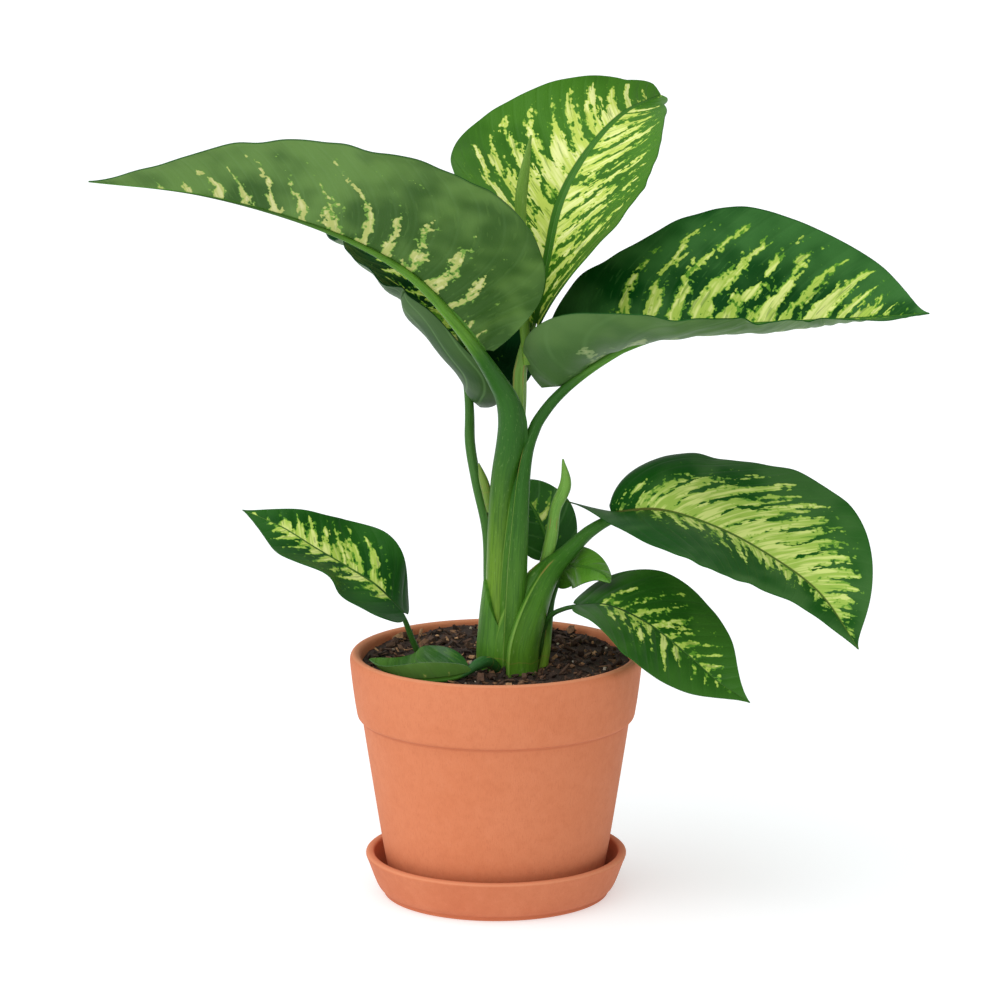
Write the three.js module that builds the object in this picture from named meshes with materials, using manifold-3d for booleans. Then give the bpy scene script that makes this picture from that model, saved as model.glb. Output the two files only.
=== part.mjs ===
// A variegated dumb cane growing in a terracotta pot that stands on its saucer.
// Millimetres, +Z up, the pot's axis on X = Y = 0, the saucer's underside on Z = 0.
import * as THREE from 'three';
import { mergeVertices } from 'three/addons/utils/BufferGeometryUtils.js';
import Module from 'manifold-3d';

const wasm = await Module();
wasm.setup();

const gap = 0.3; // clearance left between two pieces that touch
const finest = 0.05; // details smaller than this are smoothed away after cutting
const turns = 40; // facets round the pot and the saucer

// saucer
const saucerFloor = 6;
const saucerFoot = 63;
const saucerRim = 76.4;
const saucerTop = 24.6;

// pot
const potBase = saucerFloor + gap;
const potFloor = potBase + 7;
const potFoot = 61.5;
const bandBottom = 106;
const rimRadius = 85;
const rimTop = 144;
const boreRadius = 78.4;
const drainRadius = 10;

// soil
const soilLevel = 137; // at the middle of the pot
const soilTilt = 3.2; // degrees, up towards the back

// leaves
const bladeThickness = 1.3;
const rows = 12; // stations along a blade
const across = 4; // strips from the midrib to a margin

const point = (p) => new THREE.Vector3(p[0], p[1], p[2]);
const radians = THREE.MathUtils.degToRad;

// ---------------------------------------------------------------- solids and meshes

function solidOf(positions, triangles) {
  const keys = new Map();
  const vertices = [];
  const number = positions.map((p) => {
    const key = [p.x, p.y, p.z].map((c) => Math.round(c * 1e4)).join();
    if (!keys.has(key)) {
      keys.set(key, vertices.length / 3);
      vertices.push(p.x, p.y, p.z);
    }
    return keys.get(key);
  });
  const faces = triangles
    .map((t) => t.map((i) => number[i]))
    .filter(([a, b, c]) => a !== b && b !== c && c !== a);
  const at = (i) => new THREE.Vector3().fromArray(vertices, 3 * i);
  const volume = faces.reduce((sum, [a, b, c]) => sum + at(a).dot(at(b).cross(at(c))), 0);
  const outward = volume > 0 ? faces : faces.map(([a, b, c]) => [a, c, b]);
  return new wasm.Manifold(
    new wasm.Mesh({
      numProp: 3,
      vertProperties: Float32Array.from(vertices),
      triVerts: Uint32Array.from(outward.flat()),
    }),
  );
}

function solidOfGeometry(geometry) {
  const spots = geometry.getAttribute('position');
  const positions = [];
  for (let i = 0; i < spots.count; i++) positions.push(new THREE.Vector3().fromBufferAttribute(spots, i));
  const index = geometry.index.array;
  const triangles = [];
  for (let i = 0; i < index.length; i += 3) triangles.push([index[i], index[i + 1], index[i + 2]]);
  return solidOf(positions, triangles);
}

// a profile of [radius, height] pairs turned about Z
function turned(profile) {
  const outline = profile.map(([r, z]) => new THREE.Vector2(r, z));
  const geometry = new THREE.LatheGeometry(outline, turns);
  geometry.rotateX(Math.PI / 2);
  return solidOfGeometry(geometry);
}

// a cut solid rid of edges too short to matter and of loose crumbs
function cleaned(solid) {
  return solid.simplify(finest).decompose().sort((a, b) => b.volume() - a.volume())[0];
}

function meshOf(name, solid, material) {
  const body = solid.getMesh();
  const geometry = new THREE.BufferGeometry();
  geometry.setAttribute('position', new THREE.BufferAttribute(body.vertProperties, 3));
  geometry.setIndex(new THREE.BufferAttribute(body.triVerts, 1));
  geometry.computeVertexNormals();
  const mesh = new THREE.Mesh(geometry, material);
  mesh.name = name;
  return mesh;
}

// ---------------------------------------------------------------- curves

// value of a list of numbers, eased between its evenly spaced entries
function along(values, t) {
  const curve = new THREE.SplineCurve(values.map((v, i) => new THREE.Vector2(i, v)));
  return curve.getPoint(t).y;
}

function smoothPath(points) {
  return new THREE.CatmullRomCurve3(points.map(point), false, 'catmullrom', 0.5);
}

// ---------------------------------------------------------------- stalks

// a tapering rod along a path, its rings carried along without twisting
function rod(points, radii, grow = 0, sides = 8) {
  const path = smoothPath(points);
  const steps = Math.round((points.length - 1) * 1.5);
  let side = new THREE.Vector3(0, 1, 0);
  const positions = [];
  const triangles = [];
  for (let i = 0; i <= steps; i++) {
    const t = i / steps;
    const tangent = path.getTangentAt(t);
    side = side.sub(tangent.clone().multiplyScalar(side.dot(tangent))).normalize();
    const other = new THREE.Vector3().crossVectors(tangent, side);
    const radius = along(radii, t) + grow;
    const end = i === 0 ? -grow : i === steps ? grow : 0;
    const centre = path.getPointAt(t).addScaledVector(tangent, end);
    for (let k = 0; k < sides; k++) {
      const angle = (2 * Math.PI * k) / sides;
      positions.push(
        centre
          .clone()
          .addScaledVector(side, radius * Math.cos(angle))
          .addScaledVector(other, radius * Math.sin(angle)),
      );
    }
  }
  for (let i = 0; i < steps; i++) {
    for (let k = 0; k < sides; k++) {
      const a = i * sides + k;
      const b = i * sides + ((k + 1) % sides);
      triangles.push([a, b, b + sides], [a, b + sides, a + sides]);
    }
  }
  const last = steps * sides;
  for (let k = 1; k < sides - 1; k++) {
    triangles.push([0, k + 1, k], [last, last + k, last + k + 1]);
  }
  return solidOf(positions, triangles);
}

// ---------------------------------------------------------------- blades

// how wide a blade is at t, from its base (0) to its drawn-out tip (1);
// a base of 0.5 is round, a base of 1 narrows to a point
function outline(t, base) {
  return Math.sin(Math.PI * t ** 0.7) ** (base + (1.3 - base) * t);
}

// one half of the blade at station t: points from the midrib to the margin,
// each with the direction its upper face looks in
function halfRow(leaf, frame, t, side, grow) {
  const [angles, curls] = side > 0 ? [leaf.right, leaf.rightCurl] : [leaf.left, leaf.leftCurl];
  const [width, lobe, base, lift] = side > 0
    ? [leaf.width, leaf.rightLobe ?? leaf.lobe, leaf.rightBase ?? 0.5, leaf.rightLift ?? 0]
    : [leaf.leftWidth ?? leaf.width, leaf.lobe, leaf.leftBase ?? 0.5, 0];
  const reach = width * outline(t, base) + grow;
  const fold = radians(along(angles, t));
  const curl = radians(along(curls, t));
  const lobed = Math.max(0, 1 - t / 0.3) ** 2; // how much of the base lobe shows at t
  let out = 0;
  let up = 0;
  const row = [];
  for (let k = 0; k <= across; k++) {
    const v = k / across;
    const slope = fold + curl * v;
    if (k > 0) {
      const mid = fold + curl * (v - 0.5 / across);
      out += (Math.cos(mid) * reach) / across;
      up += (Math.sin(mid) * reach) / across;
    }
    row.push({
      at: frame.centre
        .clone()
        .addScaledVector(frame.across, side * out)
        .addScaledVector(frame.up, up + lift * lobed * v ** 1.3)
        .addScaledVector(frame.tangent, -lobe * lobed * v ** 1.3),
      face: frame.up
        .clone()
        .multiplyScalar(Math.cos(slope))
        .addScaledVector(frame.across, -side * Math.sin(slope)),
    });
  }
  return row;
}

function blade(leaf, grow = 0) {
  const path = smoothPath(leaf.spine);
  const positions = [];
  const triangles = [];
  const ring = 2 * (2 * across + 1);
  for (let i = 0; i <= rows; i++) {
    const t = 0.004 + 0.98 * (i / rows) ** 1.5;
    const tangent = path.getTangentAt(t);
    const up = new THREE.Vector3().lerpVectors(point(leaf.face[0]), point(leaf.face[1]), t);
    up.sub(tangent.clone().multiplyScalar(up.dot(tangent))).normalize();
    const frame = {
      tangent,
      up,
      across: new THREE.Vector3().crossVectors(tangent, up),
      centre: path.getPointAt(t),
    };
    const left = halfRow(leaf, frame, t, -1, grow);
    const right = halfRow(leaf, frame, t, 1, grow);
    const line = [...left.slice(1).reverse(), right[0], ...right.slice(1)];
    const half = bladeThickness / 2 + grow;
    const rib = half + leaf.rib * (1 - t);
    line[across].face = up; // the midrib points straight down between the two halves
    line.forEach(({ at, face }) => positions.push(at.clone().addScaledVector(face, half)));
    line.reverse().forEach(({ at, face }, k) => {
      positions.push(at.clone().addScaledVector(face, k === across ? -rib : -half));
    });
  }
  for (let i = 0; i < rows; i++) {
    for (let k = 0; k < ring; k++) {
      const a = i * ring + k;
      const b = i * ring + ((k + 1) % ring);
      // both skins are split along the same diagonals, so they never cross where the blade twists
      if (k <= 2 * across) triangles.push([a, b, b + ring], [a, b + ring, a + ring]);
      else triangles.push([a, b, a + ring], [b, b + ring, a + ring]);
    }
  }
  for (let k = 0; k < 2 * across; k++) {
    const [a, b, c, d] = [k, k + 1, ring - 2 - k, ring - 1 - k];
    const end = rows * ring;
    triangles.push([a, c, b], [a, d, c], [end + a, end + b, end + c], [end + a, end + c, end + d]);
  }
  return solidOf(positions, triangles);
}

// ---------------------------------------------------------------- the leaves
// spine: the midrib from the blade's base to its tip; face: where the upper side looks at
// the base and at the tip; left, right: how far each half is folded up from flat, in degrees
// from base to tip; the curls bend it further towards the margin; stalk: from the blade down.

const leaves = {
  leaf_right_low: {
    spine: [
      [67, 16, 222], [94, -7, 229], [126, -10, 220],
      [157, -19, 205], [185, -38, 187], [205, -84, 165],
    ],
    face: [[0.1, -0.55, 0.8], [0.1, -0.55, 0.8]],
    width: 66, lobe: 4, rightLobe: 26, rightBase: 2.2, rightLift: 14, rib: 2,
    right: [17, 30, 27, 22, 14], rightCurl: [-22, -11, 0, -5, -8],
    left: [36, 6, 13, 22, 2], leftCurl: [-24, -32, -14, 3, -9],
    stalk: [
      [70, 13, 224], [54, 8, 213], [41, 2, 202], [31, -4, 192],
      [22, -8, 176], [15, -10, 153], [14, -10, 131],
    ],
    radii: [3, 3.8, 5.2, 8, 10.5, 11, 11],
  },
  leaf_right: {
    spine: [[40, 10, 300], [65, 1, 320], [105, -2, 334], [157, -4, 338], [204, -18, 343], [243, -68, 355]],
    face: [[-0.5, -0.2, 0.8], [0, -0.2, 1]],
    width: 73, lobe: 8, rightLobe: 12, leftBase: 0.75, rib: 2,
    right: [32, 6, 6, 8, -12], rightCurl: [115, 56, 38, 26, 6],
    left: [50, 36, 47, 50, 36], leftCurl: [-8, -14, 12, 2, -5],
    stalk: [
      [42, 10, 302], [29, 6, 288], [23, 3, 277], [18, -1, 264],
      [15, -5, 246], [13, -7, 222], [11, -7, 188], [10, -5, 131],
    ],
    radii: [3, 3.4, 4, 5.2, 6.4, 7.2, 8.6, 9.5],
  },
  leaf_left: {
    spine: [
      [-7, -23, 325], [-24, -43, 350], [-53, -59, 380],
      [-98, -76, 405], [-161, -91, 425], [-225, -105, 435],
    ],
    face: [[0.8, 0.6, 0.2], [-0.1, 0.45, 0.9]],
    width: 67, leftWidth: 80, lobe: 4, leftBase: 0.65, rib: 5,
    right: [50, 46, 38, 36, 36], rightCurl: [5, 8, 6, 4, 4],
    left: [102, 31, 17, 30, 35], leftCurl: [-73, -3, -5, -16, -24],
    stalk: [
      [-8, -24, 326], [-2, -13, 310], [4, -6, 295], [7, -4, 281], [7, -3, 266],
      [5, -2, 245], [3, -1, 215], [2, -1, 180], [1, -2, 155], [1, -2, 131],
    ],
    radii: [5, 6, 7, 7.8, 8, 8, 8, 8.8, 10, 10.8],
  },
  leaf_back_left: {
    spine: [
      [-14, 40, 289], [-20, 37, 318], [-30, 52, 338],
      [-49, 64, 358], [-75, 84, 373], [-108, 107, 386],
    ],
    face: [[0.3, -0.3, 0.9], [0, -0.25, 1]],
    width: 56, lobe: 8, rib: 1.5,
    right: [85, 72, 58, 46, 36], rightCurl: [6, 6, 6, 6, 6],
    left: [-15, -24, -10, -16, -53], leftCurl: [154, 122, 57, 56, 34],
    stalk: [
      [-14, 40, 293], [-15, 33, 278], [-15, 22, 262], [-11, 13, 240],
      [-5, 8, 212], [-3, 6, 180], [0, 4, 131],
    ],
    radii: [2.5, 3, 3, 3, 4, 5, 6],
  },
  leaf_top: {
    spine: [[23, 18, 334], [29, 38, 365], [37, 64, 396], [52, 88, 421], [74, 118, 441], [99, 158, 448]],
    face: [[-0.1, -0.85, 0.5], [0.1, -0.6, 0.8]],
    width: 69, lobe: 8, rib: 2,
    right: [63, 38, 32, 26, 9], rightCurl: [24, 15, 19, 21, 15],
    left: [53, 35, 10, 15, 54], leftCurl: [12, 10, -5, -4, 13],
    stalk: [
      [24, 21, 339], [20, 18, 325], [16, 16, 308], [14, 13, 288],
      [12, 11, 258], [11, 10, 220], [10, 8, 131],
    ],
    radii: [2.5, 4, 4, 4.5, 6, 7, 7],
  },
  leaf_right_small: {
    spine: [
      [47, -23, 177], [65, -25, 177], [88, -30, 167],
      [110, -39, 151], [128, -49, 137], [145, -63, 129],
    ],
    face: [[0.1, -0.6, 0.8], [0.1, -0.6, 0.8]],
    width: 40, lobe: 3, rib: 1,
    right: [35, 22, 17, 7, 3], rightCurl: [6, 1, 4, -2, -1],
    left: [-30, -4, -1, 10, 23], leftCurl: [-9, 4, -5, 0, 3],
    stalk: [[50, -23, 177], [40, -20, 174], [31, -15, 168], [26, -9, 155], [25, -4, 131]],
    radii: [1.2, 1.4, 1.8, 2.4, 3],
  },
  leaf_curled: {
    spine: [[35, 9, 181], [38, 8, 190], [45, 3, 194], [54, -6, 195], [62, -14, 193], [66, -19, 189]],
    face: [[-0.6, -0.6, 0.5], [0.5, -0.5, 0.7]],
    width: 12, lobe: 1, rib: 0.8,
    right: [0, -10, -15, -15, -15], rightCurl: [-20, -20, -20, -20, -20],
    left: [20, 10, 5, 0, -5], leftCurl: [-10, -10, -15, -15, -15],
    stalk: [[35, 9, 182], [32, 5, 172], [30, 0, 160], [28, -6, 146], [25, -8, 131]],
    radii: [1.6, 2.2, 3, 3.6, 4],
  },
  leaf_back: {
    spine: [[30, 30, 194], [29, 33, 205], [24, 37, 216], [18, 41, 225], [10, 44, 232], [3, 46, 237]],
    face: [[0, -0.9, 0.4], [0.3, -0.9, 0.4]],
    width: 21, lobe: 3, rib: 0.8,
    right: [15, 12, 10, 8, 5], rightCurl: [5, 5, 5, 5, 5],
    left: [15, 12, 10, 8, 5], leftCurl: [5, 5, 5, 5, 5],
    stalk: [[30, 30, 196], [29, 25, 182], [26, 18, 160], [22, 13, 131]],
    radii: [1.4, 2, 2.5, 3],
  },
  leaf_left_small: {
    spine: [
      [-53, -21, 172], [-68, -20, 187], [-84, -17, 197],
      [-104, -16, 209], [-124, -9, 220], [-147, 0, 228],
    ],
    face: [[0.1, -0.6, 0.8], [0.1, -0.6, 0.8]],
    width: 33, lobe: 3, rib: 1,
    right: [-32, 2, -2, 3, 18], rightCurl: [-9, 10, -5, -2, 4],
    left: [20, 14, 19, 0, -17], leftCurl: [22, 17, 28, 16, 13],
    stalk: [[-55, -21, 174], [-51, -16, 162], [-47, -11, 150], [-42, -6, 138], [-36, -3, 126]],
    radii: [1.2, 1.6, 1.8, 2, 2.4],
  },
  leaf_on_soil: {
    spine: [
      [-16, -36, 139], [-28, -39, 137.5], [-41, -41, 137],
      [-53, -40, 138], [-64, -35, 141], [-73, -27, 146],
    ],
    face: [[0, -0.1, 1], [0.1, -0.1, 1]],
    width: 30, leftWidth: 18, lobe: 2, rib: 0.8,
    right: [34, 24, 21, 18, 14], rightCurl: [0, 0, 0, 0, 0],
    left: [22, 24, 28, 32, 28], leftCurl: [0, 0, 0, 0, 0],
    stalk: [[-17, -36, 139], [-10, -29, 140], [-3, -20, 138], [3, -13, 130]],
    radii: [1.4, 2, 2.5, 3],
  },
};

// leaves still rolled up: spindles standing in the sheaths of older leaves
const rolledLeaves = {
  rolled_leaf_top: {
    path: [[18, 4, 312], [16, 3, 340], [14, 3, 370], [14, 4, 400], [15, 5, 415], [20, 6, 445]],
    radii: [2.5, 3, 3, 3.2, 3.2, 0.5],
  },
  rolled_leaf_low: {
    path: [[22, 3, 178], [28, 1, 195], [32, -1, 212], [35, -1, 229], [39.5, -1, 245], [39, -1, 258]],
    radii: [2.5, 3.2, 3.6, 3, 3.3, 0.5],
  },
};

function leafSolid(leaf, grow = 0) {
  return blade(leaf, grow).add(rod(leaf.stalk, leaf.radii, grow));
}

// ---------------------------------------------------------------- the cane under the sheaths

const cane = {
  path: [[8, -1, 96], [7, -1, 137], [7, 0, 190], [9, 1, 245]],
  radii: [9, 8, 6, 4],
};
const rootCount = 6;

function caneSolid(grow = 0) {
  let solid = rod(cane.path, cane.radii, grow);
  for (let i = 0; i < rootCount; i++) {
    const angle = (2 * Math.PI * i) / rootCount + 0.3;
    const [c, s] = [Math.cos(angle), Math.sin(angle)];
    const top = 112 - 5 * (i % 2);
    const path = [
      [8, -1, top], [8 + 18 * c, 18 * s, top - 8],
      [6 + 34 * c, 34 * s, top - 34], [4 + 38 * c, 38 * s, top - 66],
    ];
    solid = solid.add(rod(path, [2.6, 2.2, 1.8, 1.2], grow, 6));
  }
  return solid;
}

// ---------------------------------------------------------------- pot, saucer and soil

const saucerProfile = [
  [0, 0], [saucerFoot, 0], [65, 2.5], [68.5, 8], [72.3, 14], [75.2, 20], [saucerRim, 23],
  [75.4, saucerTop], [73.2, 25.2], [71.2, saucerTop], [70.4, 21], [67.6, 13], [64.6, 8],
  [62.6, saucerFloor], [0, saucerFloor],
];

const potProfile = [
  [drainRadius, potBase], [potFoot, potBase], [64.8, 21], [77.6, 102], [78.6, bandBottom],
  [80.8, 108.5], [81.9, 113], [rimRadius, 139], [84.6, 142], [82.4, rimTop], [80, 143.6],
  [boreRadius, 141], [75.4, 112], [70.4, 102], [57, potFloor + 3], [54, potFloor],
  [drainRadius, potFloor], [drainRadius, potBase],
];

const soilProfile = [
  [0, potFloor + gap], [54 - gap, potFloor + gap], [57 - gap, potFloor + 3.2],
  [70.4 - gap, 102], [75.4 - gap, 112], [boreRadius - gap - 0.6, 139], [boreRadius - gap, rimTop],
  [0, rimTop],
];

// the pot full to the rim, cut off level with the tilted top of the soil
function soilSolid() {
  const size = 4 * rimRadius;
  const above = new THREE.BoxGeometry(size, size, size).toNonIndexed();
  above.deleteAttribute('normal');
  above.deleteAttribute('uv');
  above.translate(0, 0, size / 2);
  above.rotateX(radians(soilTilt));
  above.translate(0, 0, soilLevel);
  return turned(soilProfile).subtract(solidOfGeometry(mergeVertices(above)));
}

// ---------------------------------------------------------------- colours

const terracotta = { color: 0xd58a64, roughness: 0.8, metalness: 0 };
const materials = {
  pot: new THREE.MeshStandardMaterial(terracotta),
  saucer: new THREE.MeshStandardMaterial({ ...terracotta, color: 0xcf8560 }),
  soil: new THREE.MeshStandardMaterial({ color: 0x4a3527, roughness: 0.95, metalness: 0 }),
  cane: new THREE.MeshStandardMaterial({ color: 0x5f8a3c, roughness: 0.55, metalness: 0 }),
  leaf: new THREE.MeshStandardMaterial({ color: 0x3f7a36, roughness: 0.4, metalness: 0 }),
  rolled: new THREE.MeshStandardMaterial({ color: 0x86a856, roughness: 0.45, metalness: 0 }),
};

// ---------------------------------------------------------------- assembly
// Each piece is cut back by those already placed, so that neighbours touch with a gap.

const group = new THREE.Group();
group.name = 'potted_dumb_cane';

const placed = [{ name: 'cane', solid: caneSolid(), grown: caneSolid(gap), material: materials.cane }];

function place(name, build, material) {
  const taken = placed.map((piece) => piece.grown).reduce((sum, next) => sum.add(next));
  const whole = build(0);
  placed.push({ name, solid: cleaned(whole.subtract(taken)), grown: build(gap).add(whole), material });
}

for (const [name, leaf] of Object.entries(leaves)) {
  place(name, (grow) => leafSolid(leaf, grow), materials.leaf);
}
for (const [name, roll] of Object.entries(rolledLeaves)) {
  place(name, (grow) => rod(roll.path, roll.radii, grow, 10), materials.rolled);
}

const plant = placed.map((piece) => piece.grown).reduce((sum, next) => sum.add(next));
const pot = turned(potProfile);
const soil = cleaned(soilSolid().subtract(plant));

group.add(meshOf('saucer', turned(saucerProfile), materials.saucer));
group.add(meshOf('pot', pot, materials.pot));
group.add(meshOf('soil', soil, materials.soil));
for (const piece of placed) group.add(meshOf(piece.name, piece.solid, piece.material));

export default group;
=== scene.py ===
import math
import random

import bpy
import numpy as np
from mathutils import Matrix, Vector, noise


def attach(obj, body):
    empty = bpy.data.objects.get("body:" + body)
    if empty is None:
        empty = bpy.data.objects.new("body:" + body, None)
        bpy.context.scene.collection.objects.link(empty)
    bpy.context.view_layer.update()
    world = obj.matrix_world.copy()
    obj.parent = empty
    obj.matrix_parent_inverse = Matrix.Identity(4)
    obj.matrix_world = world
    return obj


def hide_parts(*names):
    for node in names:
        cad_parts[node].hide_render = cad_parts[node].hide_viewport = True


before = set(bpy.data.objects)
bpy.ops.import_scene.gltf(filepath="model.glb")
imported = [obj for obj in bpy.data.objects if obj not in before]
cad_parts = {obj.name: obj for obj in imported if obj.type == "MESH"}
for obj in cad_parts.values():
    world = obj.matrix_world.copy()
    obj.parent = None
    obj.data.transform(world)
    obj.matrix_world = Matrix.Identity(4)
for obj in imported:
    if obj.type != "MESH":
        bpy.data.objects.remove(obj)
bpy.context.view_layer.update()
print("frame loaded")

mm = 0.001


def clearSelection():
    bpy.ops.object.select_all(action="DESELECT")


def selectOnly(*pieces):
    clearSelection()
    for piece in pieces:
        piece.select_set(True)
    bpy.context.view_layer.objects.active = pieces[0]


def newPiece(name):
    piece = bpy.context.active_object
    piece.name = name
    piece.data.name = name
    return piece


def settle(piece):
    selectOnly(piece)
    bpy.ops.object.transform_apply(location=True, rotation=True, scale=True)


def startEdit():
    bpy.ops.object.mode_set(mode="EDIT")
    bpy.ops.mesh.select_all(action="SELECT")


def endEdit():
    bpy.ops.object.mode_set(mode="OBJECT")


def faceOutwards():
    bpy.ops.mesh.select_all(action="SELECT")
    bpy.ops.mesh.normals_make_consistent(inside=False)


def applyModifiers(piece):
    selectOnly(piece)
    for modifier in list(piece.modifiers):
        bpy.ops.object.modifier_apply(modifier=modifier.name)


def smooth(piece, angle=None):
    selectOnly(piece)
    if angle is None:
        bpy.ops.object.shade_smooth()
    else:
        bpy.ops.object.shade_smooth_by_angle(angle=math.radians(angle))


def finished(piece, slot, *nodes):
    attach(piece, "root")
    if nodes:
        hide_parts(*nodes)


def tone(red, green, blue):
    # a screen colour, 0 to 255, as the linear colour that a socket wants
    channels = []
    for value in (red, green, blue):
        c = value / 255
        channels.append(c / 12.92 if c <= 0.04045 else ((c + 0.055) / 1.055) ** 2.4)
    return (*channels, 1)


# nodes: a value is a number, a screen colour of three numbers, or the output socket that feeds it

def addNode(tree, kind, inputs=(), **settings):
    node = tree.nodes.new("ShaderNode" + kind)
    for key, value in settings.items():
        setattr(node, key, value)
    for key, value in dict(inputs).items():
        if isinstance(value, bpy.types.NodeSocket):
            tree.links.new(value, node.inputs[key])
        elif node.inputs[key].type == "RGBA":
            node.inputs[key].default_value = tone(*value)
        else:
            node.inputs[key].default_value = value
    return node


def calc(tree, operation, *values, clamp=False):
    node = addNode(tree, "Math", dict(enumerate(values)), operation=operation, use_clamp=clamp)
    return node.outputs[0]


def plus(tree, a, b):
    return calc(tree, "ADD", a, b)


def minus(tree, a, b):
    return calc(tree, "SUBTRACT", a, b)


def times(tree, a, b):
    return calc(tree, "MULTIPLY", a, b)


def over(tree, a, b):
    return calc(tree, "DIVIDE", a, b)


def timesPlus(tree, a, b, c, clamp=False):
    return calc(tree, "MULTIPLY_ADD", a, b, c, clamp=clamp)


def absolute(tree, a):
    return calc(tree, "ABSOLUTE", a)


def step(tree, value, low, high):
    # 0 at low, 1 at high, eased between
    node = addNode(
        tree, "MapRange", {"Value": value, "From Min": low, "From Max": high},
        interpolation_type="SMOOTHSTEP",
    )
    return node.outputs["Result"]


def pick(tree, share, first, second):
    node = addNode(tree, "Mix", {"Factor": share, 2: first, 3: second}, data_type="FLOAT")
    return node.outputs[0]


def tint(tree, share, first, second):
    node = addNode(tree, "Mix", {"Factor": share, 6: first, 7: second}, data_type="RGBA")
    return node.outputs[2]


def wash(tree, mask, strength, first, second):
    # the second colour over the first, thinned to strength
    return tint(tree, times(tree, mask, strength), first, second)


def joined(tree, x, y, z=0.0):
    return addNode(tree, "CombineXYZ", {0: x, 1: y, 2: z}).outputs[0]


def parted(tree, vector):
    return addNode(tree, "SeparateXYZ", {0: vector}).outputs


def grain(tree, vector, scale, detail=2.0, rough=0.5):
    node = addNode(
        tree, "TexNoise", {"Vector": vector, "Scale": scale, "Detail": detail, "Roughness": rough},
    )
    return node.outputs["Fac"]


def startGroup(name, inputs):
    # an input given as None is a place, three numbers are a colour, one number is a value
    group = bpy.data.node_groups.new(name, "ShaderNodeTree")
    for socket, value in inputs.items():
        kind = "Vector" if value is None else "Color" if isinstance(value, tuple) else "Float"
        made = group.interface.new_socket(socket, in_out="INPUT", socket_type="NodeSocket" + kind)
        if value is not None:
            made.default_value = tone(*value) if kind == "Color" else value
    for socket, kind in (("Color", "Color"), ("Roughness", "Float"), ("Height", "Float")):
        group.interface.new_socket(socket, in_out="OUTPUT", socket_type="NodeSocket" + kind)
    return group, group.nodes.new("NodeGroupInput").outputs, group.nodes.new("NodeGroupOutput")


def endGroup(group, output, **values):
    for socket, value in values.items():
        group.links.new(value, output.inputs[socket])


def newMaterial(name):
    material = bpy.data.materials.new(name)
    material.use_nodes = True
    tree = material.node_tree
    tree.nodes.clear()
    return material, tree


def surface(tree, colour, roughness, height, depth, **extra):
    bump = addNode(tree, "Bump", {"Height": height, "Distance": depth, "Strength": 1.0})
    shader = addNode(
        tree, "BsdfPrincipled",
        {"Base Color": colour, "Roughness": roughness, "Normal": bump.outputs[0], **extra},
    )
    output = addNode(tree, "OutputMaterial")
    tree.links.new(shader.outputs[0], output.inputs[0])


def groupSurface(tree, group, inputs, depth, **extra):
    made = addNode(tree, "Group", inputs, node_tree=group).outputs
    surface(tree, made["Color"], made["Roughness"], made["Height"], depth, **extra)


camera = {
    "place": (0.0023, -2.93444, 0.85724),
    "tilt": 78,      # degrees from straight down
    "lens": 187.2,   # millimetres
    "sensor": 36,
    "sees": 200,     # metres
}
studio = {
    "floorSize": 60.0,
    "floorTone": (212, 217, 219),
    "floorGlow": 0.45,         # a lit table: it keeps shadows faint
    "skyTone": (255, 255, 255),
    "sky": 0.5,
    "sun": 2.3,
    "sunSpread": 100,          # degrees across, very wide for soft shadows
    "sunTurn": (42, 0, -50),   # degrees: down from overhead, then round to the left front
}

bpy.ops.object.camera_add(location=camera["place"], rotation=(math.radians(camera["tilt"]), 0, 0))
viewer = bpy.context.active_object
viewer.name = "camera"
viewer.data.lens = camera["lens"]
viewer.data.sensor_width = camera["sensor"]
viewer.data.clip_end = camera["sees"]
bpy.context.scene.camera = viewer
bpy.context.scene.view_settings.view_transform = "Standard"

bpy.ops.mesh.primitive_plane_add(size=studio["floorSize"])
floor = newPiece("floor")
floorPaint, tree = newMaterial("floorPaint")
surface(
    tree, studio["floorTone"], roughness=0.9, height=0.0, depth=1 * mm,
    **{"Emission Color": studio["skyTone"], "Emission Strength": studio["floorGlow"]},
)
floor.data.materials.append(floorPaint)

sky = bpy.data.worlds.new("studioSky")
sky.use_nodes = True
backdrop = sky.node_tree.nodes["Background"]
backdrop.inputs["Color"].default_value = tone(*studio["skyTone"])
backdrop.inputs["Strength"].default_value = studio["sky"]
bpy.context.scene.world = sky

bpy.ops.object.light_add(type="SUN", rotation=[math.radians(a) for a in studio["sunTurn"]])
sun = bpy.context.active_object
sun.name = "keyLight"
sun.data.energy = studio["sun"]
sun.data.angle = math.radians(studio["sunSpread"])
print("camera, floor and light made")


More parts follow.
